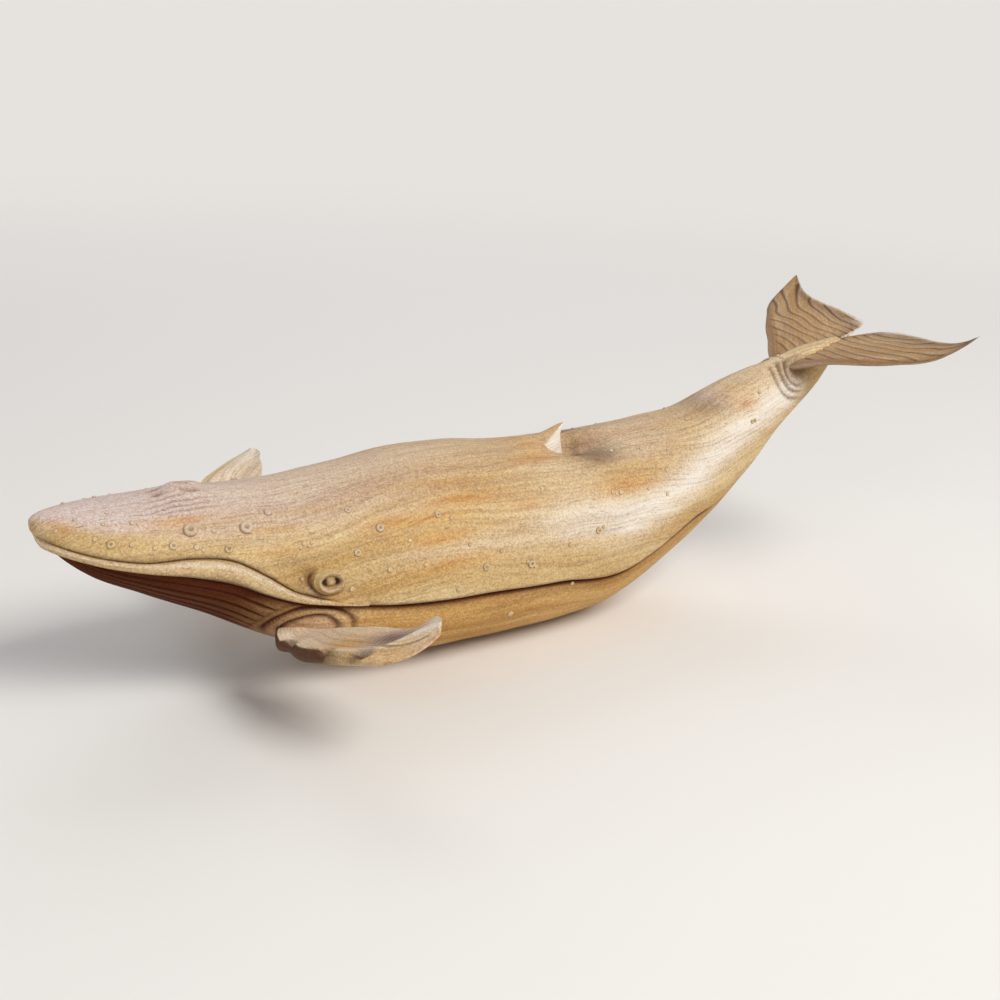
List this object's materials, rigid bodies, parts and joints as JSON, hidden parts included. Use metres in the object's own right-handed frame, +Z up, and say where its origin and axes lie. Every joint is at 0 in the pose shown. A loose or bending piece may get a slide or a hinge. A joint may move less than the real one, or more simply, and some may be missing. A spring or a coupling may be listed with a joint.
{
  "type": "carved whale figurine",
  "caption": "Carved wooden humpback whale ornament: long body with pleated throat, curled flippers, raised flukes, small dorsal fin and a flat on the belly to stand on.",
  "frame": {"origin": "middle of the small flat under the belly that the whale stands on", "axes": "+Z up, +X from the head towards the tail, +Y towards the whale's right side, away from its left flipper"},
  "size_m": [0.2978, 0.143, 0.0948],
  "materials": {
    "carved_back": "satin",
    "carved_belly": "satin",
    "carved_lip": "satin",
    "carved_flipper": "satin",
    "carved_fluke": "satin",
    "carved_fin": "satin",
    "turned_eye": "satin",
    "carved_eyelid": "satin",
    "barnacle_plug": "satin",
    "dowel_birch": "satin"
  },
  "bodies": {
    "root": {"back": "carved_back", "belly": "carved_belly", "lower_jaw": "carved_lip", "dorsal_fin": "carved_fin", "left_flipper": "carved_flipper", "right_flipper": "carved_flipper", "left_fluke": "carved_fluke", "right_fluke": "carved_fluke", "left_eye": "turned_eye", "right_eye": "turned_eye", "left_eyelid": "carved_eyelid", "right_eyelid": "carved_eyelid", "left_flank_barnacles": "barnacle_plug", "right_flank_barnacles": "barnacle_plug", "rostrum_tubercles": "barnacle_plug", "dorsal_fin_dowel": "dowel_birch", "belly_dowels": "dowel_birch", "jaw_dowels": "dowel_birch", "fluke_dowels": "dowel_birch", "left_flipper_dowel": "dowel_birch", "right_flipper_dowel": "dowel_birch"}
  },
  "joints": []
}
